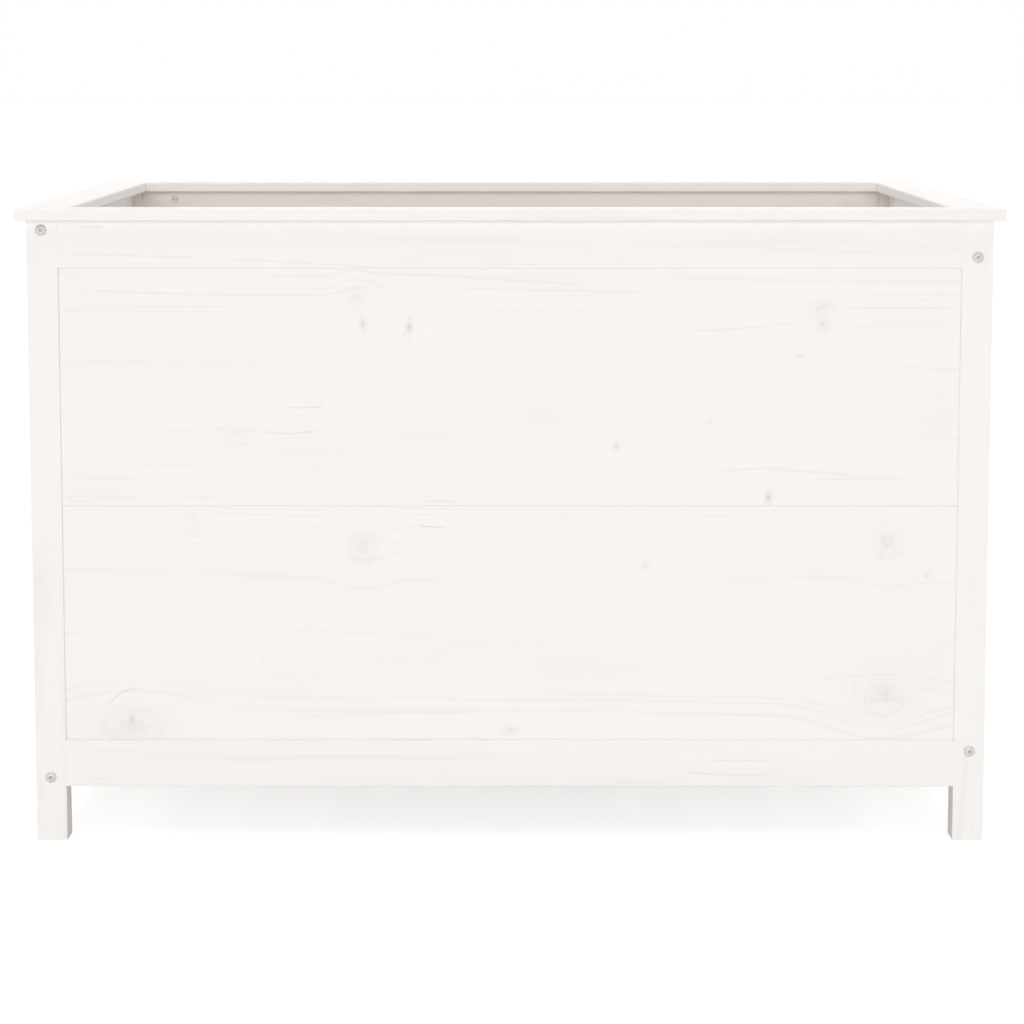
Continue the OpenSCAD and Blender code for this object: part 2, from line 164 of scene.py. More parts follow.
class Graph:
    """The node tree of a material or of the world, emptied and ready to be wired."""

    def __init__(self, tree: bpy.types.NodeTree) -> None:
        """Takes over the tree and clears it."""
        self.tree = tree
        tree.nodes.clear()

    @classmethod
    def of_material(cls, name: str) -> tuple["Graph", bpy.types.Material]:
        """Makes a material.

        Args:
            name: Its name.

        Returns:
            Its empty graph, and the material.
        """
        material = bpy.data.materials.new(name)
        material.use_nodes = True
        return cls(material.node_tree), material

    def node(
        self,
        kind: str,
        inputs: dict[int | str, Operand] | None = None,
        output: int | str = 0,
        **settings: object,
    ) -> Wire:
        """Adds a node of any type.

        Args:
            kind: The node's type, as Blender calls it after "ShaderNode".
            inputs: Values or links of its input sockets, by place or name.
            output: Place or name of the output to return.
            settings: The node's own settings, made before its sockets are touched.

        Returns:
            That output.
        """
        made = self.tree.nodes.new(f"ShaderNode{kind}")
        for name, value in settings.items():
            setattr(made, name, value)
        for key, value in (inputs or {}).items():
            if isinstance(value, Wire):
                self.tree.links.new(value.socket, made.inputs[key])
            else:
                made.inputs[key].default_value = value
        if not made.outputs:
            return Wire(self, made.inputs[0])
        return Wire(self, made.outputs[output])

    def vector(self, x: Operand, y: Operand, z: Operand = 0.0) -> Wire:
        """Joins three values into a vector."""
        return self.node("CombineXYZ", {0: x, 1: y, 2: z})

    def scaled(self, place: Wire, scale: float) -> Wire:
        """Multiplies a vector by a number."""
        return self.node("VectorMath", {0: place, "Scale": scale}, operation="SCALE")

    def noise(self, place: Wire, detail: float = 2.0, warp: float = 0.0) -> Wire:
        """Cloudy noise with one feature per unit of place, from 0 to 1 about 0.5."""
        inputs = {"Vector": place, "Scale": 1.0, "Detail": detail, "Distortion": warp}
        return self.node("TexNoise", inputs)

    def noise_on_line(self, place: Wire, detail: float = 1.0) -> Wire:
        """Noise of one number, with one feature per unit, from 0 to 1 about 0.5."""
        inputs = {"W": place, "Scale": 1.0, "Detail": detail}
        return self.node("TexNoise", inputs, noise_dimensions="1D")

    def blend(self, share: Wire, low: Operand, high: Operand) -> Wire:
        """Mixes two colours by a share from 0 to 1."""
        inputs = {0: share, 6: low, 7: high}
        return self.node("Mix", inputs, output=2, data_type="RGBA", clamp_factor=True)

    def finish_surface(self, colour: Wire, roughness: Wire, height: Wire, metallic: float) -> None:
        """Ends the graph in one shader.

        Args:
            colour: Base colour.
            roughness: Roughness.
            height: Height of the surface's relief in metres.
            metallic: Metallic share, the same all over.
        """
        bump = self.node("Bump", {"Strength": 1.0, "Distance": 1.0, "Height": height})
        inputs = {"Base Color": colour, "Roughness": roughness, "Metallic": metallic, "Normal": bump}
        self.node("OutputMaterial", {"Surface": self.node("BsdfPrincipled", inputs)})


# --- Wood: what a timber is, and how its paint shows it --------------------------------------


class Lay(Enum):
    """How a timber lies: the frame's axes along its grain, across its face and through it."""

    WALL_X = (0, 2, 1)
    WALL_Y = (1, 2, 0)
    UPRIGHT = (2, 0, 1)
    FLAT_X = (0, 1, 2)
    FLAT_Y = (1, 0, 2)


@dataclass(frozen=True)
class Knot:
    """A branch that was sawn through. Places and sizes are millimetres in the timber's own lay.

    Attributes:
        along: Place along the grain, in the frame's axes.
        across: Place across the face, in the frame's axes.
        length: Half its length along the grain.
        width: Half its width across the grain.
        core: Darkness of its heart, 0 to 1.
        halo: Darkness of the wood around it, 0 to 1.
        tilt: Turn of its long axis from the grain, in degrees.
    """

    along: float
    across: float
    length: float
    width: float
    core: float
    halo: float
    tilt: float = 0.0


@dataclass(frozen=True)
class GrainMark:
    """A single dark line in the face: a check, an open ring or a glue line, in millimetres.

    Attributes:
        along: Place of its middle along the grain.
        across: Place of its middle across the face.
        length: Half its length.
        width: Half its width.
        depth: Darkness, 0 to 1.
        bow: How far its ends stand off towards +across from the middle.
        tilt: Turn from the grain, in degrees.
    """

    along: float
    across: float
    length: float
    width: float
    depth: float
    bow: float = 0.0
    tilt: float = 0.0


@dataclass(frozen=True)
class Timber:
    """One piece of wood: its node, how it lies, and what its face shows.

    Attributes:
        node: Name of its node in the frame.
        lay: How it lies.
        pith: Place of the tree's heart, across and through from the timber's centre, in metres.
        lean: How fast the heart drifts across along the grain.
        knots: Its knots.
        marks: Its checks, open rings and glue lines.
    """

    node: str
    lay: Lay
    pith: tuple[float, float]
    lean: float
    knots: tuple[Knot, ...] = ()
    marks: tuple[GrainMark, ...] = ()

    def centre(self) -> np.ndarray:
        """Centre along, across and through, in the frame's axes."""
        return box(self.node).mean(axis=0)[list(self.lay.value)]

    def half(self) -> np.ndarray:
        """Half its size along, across and through."""
        return np.ptp(box(self.node), axis=0)[list(self.lay.value)] / 2


class WoodFace:
    """The coordinates of one timber in its material's graph, and what is drawn on them.

    They run along, across and through the timber, in metres from its centre. Whatever is drawn is
    a share from 0 to 1.
    """

    def __init__(self, graph: Graph, timber: Timber) -> None:
        """Sets the coordinates up.

        Args:
            graph: The material's graph.
            timber: The timber.
        """
        self.graph = graph
        self.timber = timber
        split = graph.node("SeparateXYZ", {0: graph.node("TexCoord", output="Object")})
        names = ("XYZ"[axis] for axis in timber.lay.value)
        from_centre = (split.other(name) - float(mid) for name, mid in zip(names, timber.centre()))
        self.along, self.across, self.through = from_centre
        self.plane = graph.vector(self.along, self.across)

    def streaks(
        self, along: float, across: float, detail: float, lane: Wire | None = None, start: int = 0
    ) -> Wire:
        """Cloudy noise, drawn out along the grain.

        Args:
            along: Features to a metre along the grain.
            across: Features to a metre across and through it.
            detail: Finer octaves of the noise.
            lane: Coordinate across, where it isn't the plain one.
            start: Number of features by which it is moved along the grain.

        Returns:
            A value from 0 to 1 about 0.5.
        """
        run = self.along * along
        if start:
            run = run + start
        place = self.graph.vector(run, (lane or self.across) * across, self.through * across)
        return self.graph.noise(place, detail)

    def local(self, spot: Knot | GrainMark) -> Wire:
        """Coordinates in which the spot's outline is the unit circle.

        Args:
            spot: The knot or mark.

        Returns:
            The plane, centred on the spot, turned with it and divided by its size.
        """
        middle = self.timber.centre()
        inputs = {
            "Vector": self.plane,
            "Location": (spot.along * MM - middle[0], spot.across * MM - middle[1], 0.0),
            "Rotation": (0.0, 0.0, math.radians(spot.tilt)),
            "Scale": (spot.length * MM, spot.width * MM, 1.0),
        }
        return self.graph.node("Mapping", inputs, vector_type="TEXTURE")

    def knots(self) -> tuple[Wire, Operand, Operand]:
        """Draws the knots.

        Each bends the grain: near it, the grain reads its lines from closer to the knot's middle,
        so that the lines swell round it. The knot's own rings are shells of equal reach.

        Returns:
            The bent coordinate across, the shaded surrounds, and the dark hearts.
        """
        fineness, raggedness, swell, ring_count, rim_share = 130.0, 0.7, 0.65, 5.0, 0.3
        ragged = self.graph.noise(self.graph.scaled(self.plane, fineness)) - 0.5
        bent, tint, heart = self.across, 0.0, 0.0
        for knot in self.timber.knots:
            local = self.local(knot)
            reach = self.graph.node("VectorMath", {0: local}, "Value", operation="LENGTH")
            offset = self.graph.node("SeparateXYZ", {0: local}).other("Y")
            bent = bent - offset * reach.ease(3.6, 0.8) * (knot.width * MM * swell)
            reach = reach + ragged * raggedness
            rings = self.graph.noise_on_line(reach * ring_count).ease(0.42, 0.62) * 0.7 + 0.45
            tint = tint + reach.ease(1.7, 0.2) * rings * knot.halo
            rim = abs(reach - 1.0).ease(0.2, 0.05) * rim_share
            heart = heart + (reach.ease(0.85, 0.25) * rings + rim) * knot.core
        return bent, tint, heart

    def rings(self, bent: Wire, gap: float) -> Wire:
        """Draws the growth rings, in patches.

        They are shells round the heart line, whose distance wavers slowly along the grain.

        Args:
            bent: Coordinate across, bent round the knots.
            gap: Distance between two rings.

        Returns:
            The rings' dark lines.
        """
        seed, wander = sum(map(ord, self.timber.node)) % 89, 0.02
        waver = self.streaks(along=1.6, across=7, detail=3.0, lane=bent, start=seed)
        from_heart = bent - self.timber.pith[0] - self.along * self.timber.lean
        depth = self.through - self.timber.pith[1]
        reach = (from_heart * from_heart + depth * depth).root() + waver * wander
        lines = self.graph.noise_on_line(reach / gap + seed, detail=2.0).ease(0.5, 0.72)
        patch = self.streaks(along=2.1, across=14, detail=2.0, lane=bent, start=seed)
        return lines * patch.ease(0.38, 0.68)

    def marks(self) -> Operand:
        """Draws the single dark lines: thin parabolas that fade out at their ends.

        Returns:
            Their darkness.
        """
        lines = 0.0
        for mark in self.timber.marks:
            split = self.graph.node("SeparateXYZ", {0: self.local(mark)})
            run, off = split.other("X"), split.other("Y")
            off = abs(off - run * run * (mark.bow / mark.width))
            lines = lines + off.ease(1.0, 0.2) * abs(run).ease(1.0, 0.6) * mark.depth
        return lines

    def worn(self) -> Wire:
        """Draws the arrises, where the paint is thin in patches: near an edge across and through.

        Returns:
            How thin the paint is.
        """
        _, half_across, half_through = self.timber.half()
        band, edge = 2.2 * MM, 0.4 * MM
        near = abs(self.across).ease(half_across - band, half_across - edge)
        near = near * abs(self.through).ease(half_through - band, half_through - edge)
        return near * self.streaks(along=40, across=60, detail=3.0).ease(0.4, 0.65)


@dataclass(frozen=True)
class PaintedPine:
    """White paint on planed pine. The grain shows faintly and the knots a little more.

    Attributes:
        label: Start of the material's name.
        paint: Colour of the paint.
        stain: Colour that the grain and the knots' surrounds pull the paint towards.
        heart: Colour of a knot's heart and of open lines.
        ring_gap: Distance between two growth rings.
        grain: How much the rings show.
        fibre: How much the fine fibre shows.
        cloud: How much the paint's unevenness shows.
        wear: How much wood shows through at the arrises.
        roughness: Roughness of the paint.
        brushing: Height of the brush strokes.
        planing: Height of the planed wood's waves.
    """

    label: str
    paint: Colour = srgb(247.5, 243.5, 240.5)
    stain: Colour = srgb(214, 207, 200)
    heart: Colour = srgb(190, 183, 176)
    ring_gap: float = 4.5 * MM
    grain: float = 0.16
    fibre: float = 0.05
    cloud: float = 0.05
    wear: float = 0.05
    roughness: float = 0.52
    brushing: float = 0.025 * MM
    planing: float = 0.06 * MM

    def material(self, timber: Timber) -> bpy.types.Material:
        """Makes the material of one timber: the shares drawn on its face together tint the paint.

        Args:
            timber: The timber to paint.

        Returns:
            Its material.
        """
        graph, material = Graph.of_material(f"{self.label}_{timber.node}")
        face = WoodFace(graph, timber)
        bent, tint, heart = face.knots()
        fibre = face.streaks(along=9, across=420, detail=3.0, lane=bent)
        cloud = face.streaks(along=2.5, across=11, detail=3.0)
        shade = face.rings(bent, self.ring_gap) * self.grain + fibre.ease(0.52, 0.75) * self.fibre
        shade = shade + tint + face.worn() * self.wear + cloud.ease(0.35, 0.8) * self.cloud
        colour = graph.blend(shade, self.paint, self.stain)
        if timber.knots or timber.marks:
            colour = graph.blend(heart + face.marks(), colour, self.heart)
        roughness = self.roughness + cloud * 0.08 + fibre * 0.05
        brushed = face.streaks(along=25, across=900, detail=1.0)
        planed = face.streaks(along=6, across=200, detail=2.0)
        relief = brushed * self.brushing + planed * self.planing
        graph.finish_surface(colour, roughness, relief, metallic=0.0)
        return material


@dataclass(frozen=True)
class ZincPlate:
    """Dull zinc plating with a faint spangle and a few darker stains.

    Attributes:
        label: Name of the material.
        metal: Colour of the plating.
        dark: Colour of the stains.
        grime: Colour of the shade painted into the recesses.
        roughness: Roughness of the plating.
        cells: Number of spangles to a metre.
    """

    label: str = "zinc_plate"
    metal: Colour = srgb(196, 192, 189)
    dark: Colour = srgb(174, 170, 166)
    grime: Colour = srgb(163, 159, 155)
    roughness: float = 0.42
    cells: float = 700.0

    def material(self) -> bpy.types.Material:
        """Makes the material: cell noise gives the spangle and cloudy noise the stains.

        The pieces' own "recess" attribute, 1 in a socket and 0 elsewhere, paints shade into the
        recesses by darkening them.

        Returns:
            The material.
        """
        graph, material = Graph.of_material(self.label)
        scaled = graph.scaled(graph.node("TexCoord", output="Object"), self.cells)
        spangle = graph.node("TexVoronoi", {"Vector": scaled, "Scale": 1.0})
        stain = graph.noise(scaled, detail=4.0, warp=0.4)
        colour = graph.blend(stain.ease(0.5, 0.8) * 0.6 + spangle * 0.25, self.metal, self.dark)
        recess = graph.node("Attribute", output="Fac", attribute_name="recess")
        # Painted shade: the sockets and cross recesses are darkened, because the plating there would
        # reflect the white surround.
        colour = graph.blend(recess * 0.85, colour, self.grime)
        roughness = self.roughness + spangle * 0.12 + stain * 0.1
        graph.finish_surface(colour, roughness, stain * (0.01 * MM), metallic=1.0)
        return material


# --- Surfaces worked out on grids ------------------------------------------------------------


def turn_about(axis: int, quarter_turns: int) -> np.ndarray:
    """Rotation by quarter turns.

    Args:
        axis: The frame's axis 0, 1 or 2 that it goes about.
        quarter_turns: Number of quarter turns.

    Returns:
        Its matrix.
    """
    angle = quarter_turns * math.pi / 2
    cosine, sine = round(math.cos(angle)), round(math.sin(angle))
    first, second = (axis + 1) % 3, (axis + 2) % 3
    matrix = np.eye(3)
    matrix[first, first] = matrix[second, second] = cosine
    matrix[first, second], matrix[second, first] = -sine, sine
    return matrix


Row = tuple[float, float]
FADING_TURNS = 0.75


def lathe(angles: np.ndarray, outline: np.ndarray, recess: list[Row], turned: list[Row]) -> np.ndarray:
    """Turned solid with a shaped recess in its head.

    A point is (r cos a, r sin a, z). In the recess the radius r is a share of the outline at the
    angle a, and below it r is the same all round. A row of radius 0 is a pole.

    Args:
        angles: Angles round the axis.
        outline: Radius of the recess at each angle.
        recess: Share of the outline, and level z, for each row of the recess.
        turned: Radius r, and level z, for each row after it.

    Returns:
        Grid of points, rows by angles.
    """
    shaped = [share * outline for share, _ in recess]
    radii = np.array(shaped + [np.full(len(angles), radius) for radius, _ in turned])
    levels = np.array([level for _, level in recess + turned])[:, None]
    heights = np.broadcast_to(levels, radii.shape)
    return np.stack([radii * np.cos(angles), radii * np.sin(angles), heights], axis=-1)


def helical_ridge(core: Row, crest: Row, levels: Row, pitch: float, steps: int) -> np.ndarray:
    """Thread: a three-cornered ridge wound round a core, fading out at both ends.

    At turn t the ridge stands at the angle 2 pi t. Two of its corners lie on the core, one a third
    of a pitch below and one above the middle, and the third stands out to the crest. Over the
    first and last FADING_TURNS turns all three run together into one point.

    Args:
        core: Radius of the core at the start and at the end.
        crest: Radius of the crest at the start and at the end.
        levels: Level of the start and of the end.
        pitch: Rise of one turn.
        steps: Points for each turn.

    Returns:
        Grid of points, along the ridge by its three corners.
    """
    turns = abs(levels[1] - levels[0]) / pitch
    turn = np.linspace(0, turns, int(turns * steps) + 1)
    share = turn / turns
    fade = np.clip(np.minimum(turn, turns - turn) / FADING_TURNS, 0, 1)
    low = core[0] + (core[1] - core[0]) * share
    high = low + (crest[0] + (crest[1] - crest[0]) * share - low) * fade
    middle = levels[0] + (levels[1] - levels[0]) * share
    foot = fade * pitch / 3
    radii = np.stack([low, high, low], axis=-1)
    heights = np.stack([middle - foot, middle, middle + foot], axis=-1)
    angle = 2 * math.pi * turn[:, None]
    return np.stack([radii * np.cos(angle), radii * np.sin(angle), heights], axis=-1)


@dataclass
class Piece:
    """A mesh piece gathered from closed grids. A grid's columns run round, and its ends are poles.

    Attributes:
        name: Name of the piece.
        points: Points of each grid.
        faces: Faces of each grid.
        grime: For each grid's points, 1 in a recess, where shade is painted, and 0 elsewhere.
        count: Number of points so far.
    """

    name: str
    points: list[np.ndarray] = field(default_factory=list)
    faces: list[np.ndarray] = field(default_factory=list)
    grime: list[np.ndarray] = field(default_factory=list)
    count: int = 0

    def add(self, grid: np.ndarray, turn: np.ndarray, place: np.ndarray, recess_rows: int = 0) -> None:
        """Adds one closed grid, turned and moved to its place, with its faces outwards.

        The sum of a . (b x c) over its triangles is six times its volume, and where that comes out
        negative the columns are taken in the other order.

        Args:
            grid: Points, rows by columns.
            turn: Rotation matrix.
            place: Where the grid's origin goes.
            recess_rows: Number of its first rows that lie in a recess, where shade is painted.
        """
        rows, columns = grid.shape[:2]
        index = np.arange(rows * columns).reshape(rows, columns)
        following = np.roll(index, -1, axis=1)
        corners = [index[:-1], following[:-1], following[1:], index[1:]]
        quads = np.stack(corners, axis=-1).reshape(-1, 4)
        flat = grid.reshape(-1, 3)
        a, b, c, d = (flat[quads[:, corner]] for corner in range(4))
        if np.sum(a * np.cross(b, c)) + np.sum(a * np.cross(c, d)) < 0:
            quads = quads[:, ::-1]
        self.points.append(flat @ turn.T + place)
        self.faces.append(quads + self.count)
        # Marks the recess rows, where shade is painted.
        self.grime.append(np.repeat(np.arange(rows) < recess_rows, columns).astype(np.float32))
        self.count += len(flat)

    def build(self, smooth_under: float = 35.0) -> bpy.types.Object:
        """Makes the object at the origin, with seams and poles closed.

        Args:
            smooth_under: Edges that turn less than this, in degrees, are shaded smooth.

        Returns:
            The new object.
        """
        mesh = bpy.data.meshes.new(self.name)
        mesh.from_pydata(np.concatenate(self.points), [], np.concatenate(self.faces))
        # The painted shade of the recesses, kept on the mesh as its recess attribute.
        recess_shade_layer = mesh.attributes.new("recess", "FLOAT", "POINT")
        recess_shade_layer.data.foreach_set("value", np.concatenate(self.grime))
        merged = bmesh.new()
        merged.from_mesh(mesh)
        bmesh.ops.remove_doubles(merged, verts=merged.verts, dist=0.001 * MM)
        merged.to_mesh(mesh)
        merged.free()
        mesh.shade_smooth()
        mesh.set_sharp_from_angle(angle=math.radians(smooth_under))
        return placed(self.name, mesh)


def report(piece: bpy.types.Object, stands_for: str) -> None:
    """Logs a new piece and how far its box is from that of its node.

    Args:
        piece: The piece.
        stands_for: The node.
    """
    corners = np.array([corner[:] for corner in piece.bound_box])
    off = np.abs(np.array([corners.min(0), corners.max(0)]) - box(stands_for)).max() / MM
    LOG.info("%s: %d faces, box within %.2f mm of its node", piece.name, len(piece.data.polygons), off)


# --- The planter's layout, read from the frame -----------------------------------------------


class Side(Enum):
    """The four walls, in the order of their quarter turns from the front."""

    FRONT = 0
    RIGHT = 1
    BACK = 2
    LEFT = 3

    @property
    def label(self) -> str:
        """The side's name in the node names."""
        return self.name.lower()

    @property
    def is_long(self) -> bool:
        """True for the two walls that run left to right."""
        return self in (Side.FRONT, Side.BACK)

    @property
    def run(self) -> int:
        """The frame's axis along the wall, 0 or 1; the other one goes through it."""
        return 0 if self.is_long else 1

    @property
    def turn(self) -> np.ndarray:
        """Rotation from wall coordinates to the frame."""
        return turn_about(2, self.value)

    @property
    def reach(self) -> float:
        """Distance from the middle of the planter to the wall's outer face."""
        return np.abs(box(f"bottom_rail_{self.label}")[:, 1 - self.run]).max()

    @property
    def length(self) -> float:
        """Length of the wall between the legs."""
        return np.ptp(box(f"bottom_rail_{self.label}")[:, self.run])

    def place(self, x: float, y: float, z: float) -> np.ndarray:
        """Turns a point in wall coordinates into one in the frame."""
        return self.turn @ np.array([x, y - self.reach, z])


def spread(count: int, span: float) -> np.ndarray:
    """Places of some things spread evenly over a span about 0."""
    return np.linspace(-span / 2, span / 2, count)


def dress_solid(
    node: str, material: bpy.types.Material, radius: float, angle: float, segments: int
) -> None:
    """Gives a frame node a material, and rounded edges by modifiers, which leave its mesh as it is.

    The loose triangles are welded, flat faces are joined so that no sliver stays in them, and
    then the edges are rounded.

    Args:
        node: The node.
        material: The material.
        radius: Radius of the rounding.
        angle: Least angle of the edges that are rounded, in degrees.
        segments: Steps of the rounding.
    """
    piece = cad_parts[node]
    piece.data.materials.clear()
    piece.data.materials.append(material)
    weld = piece.modifiers.new("weld", "WELD")
    weld.merge_threshold = 0.01 * MM
    flat = piece.modifiers.new("flat_faces", "DECIMATE")
    flat.decimate_type = "DISSOLVE"
    flat.angle_limit = math.radians(0.5)
    bevel = piece.modifiers.new("rounded_edges", "BEVEL")
    bevel.width = radius
    bevel.segments = segments
    bevel.limit_method = "ANGLE"
    bevel.angle_limit = math.radians(angle)
    bevel.use_clamp_overlap = False


# --- Timberwork ------------------------------------------------------------------------------

# What the front shows, read from the photograph and turned into millimetres. Places along and
# across are the frame's own X and Z (Z and X on the legs). Its grain falls a little to the right.
FRONT_LEAN = -0.012
FRONT_KNOTS = {
    "upper_board_front": (
        Knot(-186, 672, 12, 13, 0.05, 0.15),
        Knot(-178, 640, 4.5, 9.5, 0.29, 0.16, 15),
        Knot(-122.5, 635.5, 5.5, 11.5, 0.30, 0.24, -8),
        Knot(378.5, 660, 17, 10, 0.06, 0.18, 5),
        Knot(379, 639, 8, 9, 0.20, 0.18),
        Knot(352, 601, 8, 2.6, 0.22, 0.10),
        Knot(244, 520, 4, 4, 0.10, 0.06),
        Knot(130, 491, 5, 6.5, 0.20, 0.14),
        Knot(315.5, 427.5, 5, 9.5, 0.40, 0.28, -5),
        Knot(-332, 506, 22, 15, 0.00, 0.10),
    ),
    "lower_board_front": (
        Knot(-387, 401, 10, 18, 0.00, 0.12),
        Knot(-180, 366, 18, 21, 0.07, 0.18),
        Knot(166, 343.5, 4.5, 6, 0.15, 0.12),
        Knot(462, 373.5, 20, 21, 0.08, 0.16),
        Knot(511, 331, 4, 3.4, 0.29, 0.10),
        Knot(-465.5, 152, 4.5, 8.5, 0.36, 0.12),
        Knot(-463, 143, 42, 25, 0.00, 0.25),
        Knot(0, 137.5, 11, 6, 0.18, 0.12),
        Knot(457, 184, 38, 30, 0.00, 0.14),
        Knot(458, 185, 18, 16, 0.05, 0.10),
    ),
    "bottom_rail_front": (Knot(139, 75, 44, 7, 0.00, 0.10),),
    "leg_front_left": (Knot(325, -576, 30, 7, 0.00, 0.12),),
}
FRONT_MARKS = {
    "upper_board_front": (
        GrainMark(-376, 676, 172, 1.3, 0.15, 4.0, -1.2),
        GrainMark(-430, 660.5, 115, 1.1, 0.13),
        GrainMark(-60, 697, 190, 1.3, 0.13, 0.0, -3.4),
        GrainMark(50, 681, 138, 1.2, 0.12, 0.0, -1.2),
        GrainMark(48, 655, 84, 1.0, 0.12),
        GrainMark(474, 659.5, 74, 1.3, 0.22),
        GrainMark(474, 638, 72, 1.0, 0.14),
        GrainMark(295, 636, 78, 1.2, 0.12, 2.0, 5.6),
        GrainMark(360, 735, 120, 1.0, 0.10, 0.0, -3.0),
        GrainMark(-249, 538, 27, 1.2, 0.28, 0.8, 1.0),
        GrainMark(-266, 506, 36, 1.2, 0.27, 5.0, 2.0),
        GrainMark(250, 633, 62, 1.2, 0.10, 3.0, 3.0),
        GrainMark(300, 463, 52, 1.6, 0.16, -2.0, 3.0),
        GrainMark(370, 459, 60, 2.0, 0.14, -2.5, -4.0),
        GrainMark(425, 450, 64, 1.4, 0.16, 1.5),
        GrainMark(-492, 451, 53, 1.1, 0.15, 0.0, -1.5),
        GrainMark(-524, 423, 21, 1.1, 0.14, 0.0, -3.0),
        GrainMark(-84, 423, 26, 1.2, 0.20),
    ),
    "lower_board_front": (
        GrainMark(-95, 391, 19, 1.2, 0.34, 1.0, -5.5),
        GrainMark(314, 321, 96, 1.1, 0.10, 0.0, -4.9),
        GrainMark(-478, 184, 22, 1.5, 0.26, -5.0, 30.0),
        GrainMark(-159, 158.5, 123, 1.3, 0.12, -3.0, 1.2),
        GrainMark(430, 206, 70, 1.2, 0.11, -4.0, 4.0),
        GrainMark(437.5, 178, 12, 1.2, 0.18, 0.0, 86.0),
        GrainMark(462.5, 180, 10, 1.2, 0.16, 0.0, 92.0),
        GrainMark(456, 366, 14, 1.2, 0.12, 0.0, 84.0),
        GrainMark(470, 372, 12, 1.2, 0.12, 0.0, 90.0),
        GrainMark(-303, 226, 4, 1.0, 0.20, 0.0, 70.0),
        GrainMark(-437, 231, 66, 1.0, 0.10, 0.0, -6.0),
    ),
    "top_rail_front": (
        GrainMark(-454, 723.5, 92, 1.3, 0.16, 0.0, -1.5),
        GrainMark(-248, 714.5, 116, 1.3, 0.15, 0.0, -3.2),
        GrainMark(395, 729, 130, 1.2, 0.11, 0.0, -2.5),
        GrainMark(60, 713, 160, 1.1, 0.10, 0.0, 0.4),
        GrainMark(-504, 758, 16, 3.0, 0.16),
    ),
    "bottom_rail_front": (
        GrainMark(286, 101, 42, 0.9, 0.20),
        GrainMark(266, 83, 62, 1.0, 0.26, 2.0, -2.0),
        GrainMark(-507, 78, 14, 2.0, 0.13, -2.0, -10.0),
    ),
}


@dataclass(frozen=True)
class KnotHabit:
    """How often a kind of timber has knots, and how large they are, in millimetres.

    Attributes:
        spacing: Length of timber to one knot.
        smallest: Smallest half size.
        largest: Largest half size.
        margin: Least distance of a knot from the edges.
        small: Half size below which a knot is a dark one.
    """

    spacing: float
    smallest: float = 4.0
    largest: float = 15.0
    margin: float = 8.0
    small: float = 9.0

    def scatter(self, timber: Timber, dice: np.random.Generator) -> Timber:
        """Gives a timber knots of random place and size, with a few open rings beside them.

        Args:
            timber: The timber, without knots.
            dice: The seeded source of chance.

        Returns:
            The same timber with its knots and marks.
        """
        middle, half = timber.centre() / MM, timber.half() / MM
        knots, marks = [], []
        for _ in range(int(dice.poisson(2 * half[0] / self.spacing))):
            along = middle[0] + dice.uniform(-0.95, 0.95) * half[0]
            across = middle[1] + dice.uniform(-1, 1) * max(half[1] - self.margin, 0)
            width = float(np.exp(dice.uniform(math.log(self.smallest), math.log(self.largest))))
            width = min(width, half[1] * 0.6)
            dark = dice.uniform(0.2, 0.6) if width < self.small else dice.uniform(0.0, 0.15)
            stretch = dice.uniform(0.9, 1.6)
            tilt = dice.uniform(-25, 25)
            halo = dice.uniform(0.1, 0.2)
            knots.append(Knot(along, across, width * stretch, width, dark, halo, tilt))
            if dice.random() < 0.4:
                beside = across + width * dice.choice([-1.8, 1.8])
                marks.append(GrainMark(along, beside, width * 3, 1.1, 0.2, dice.uniform(-3, 3)))
        return replace(timber, knots=tuple(knots), marks=tuple(marks))


@dataclass(frozen=True)
class Timbers:
    """A group of like timbers with one finish.

    Attributes:
        names: Their nodes, each with its lay.
        finish: Their paint.
        habit: How knotty they are.
        seed: Seed of their chance.
        arris: Radius to which their arrises are rubbed down.
        heart_depth: Usual distance of the heart line from a timber's centre.
        lean: Largest drift of the heart line along the grain.
    """

    names: tuple[tuple[str, Lay], ...]
    finish: PaintedPine
    habit: KnotHabit
    seed: int
    arris: float = 0.3 * MM
    heart_depth: float = 70 * MM
    lean: float = 0.025

    def timbers(self) -> list[Timber]:
        """Describes each timber: its heart line, and its knots from the front's lists or by chance.

        Returns:
            The timbers, in the order of their names.
        """
        dice = np.random.default_rng(self.seed)
        found = []
        for name, lay in self.names:
            heart_across = dice.uniform(-1, 1) * self.heart_depth / 2
            pith = (heart_across, dice.choice([-1, 1]) * self.heart_depth)
            timber = Timber(name, lay, pith, dice.uniform(-self.lean, self.lean))
            timber = self.habit.scatter(timber, dice)
            if name in FRONT_KNOTS or name in FRONT_MARKS:
                knots, marks = FRONT_KNOTS.get(name, ()), FRONT_MARKS.get(name, ())
                timber = replace(timber, lean=FRONT_LEAN, knots=knots, marks=marks)
            found.append(timber)
        return found

    def dress(self) -> None:
        """Paints every timber and rubs down its arrises."""
        for timber in self.timbers():
            dress_solid(timber.node, self.finish.material(timber), self.arris, 30, 3)
            LOG.info("%s: %d knots, %d marks", timber.node, len(timber.knots), len(timber.marks))


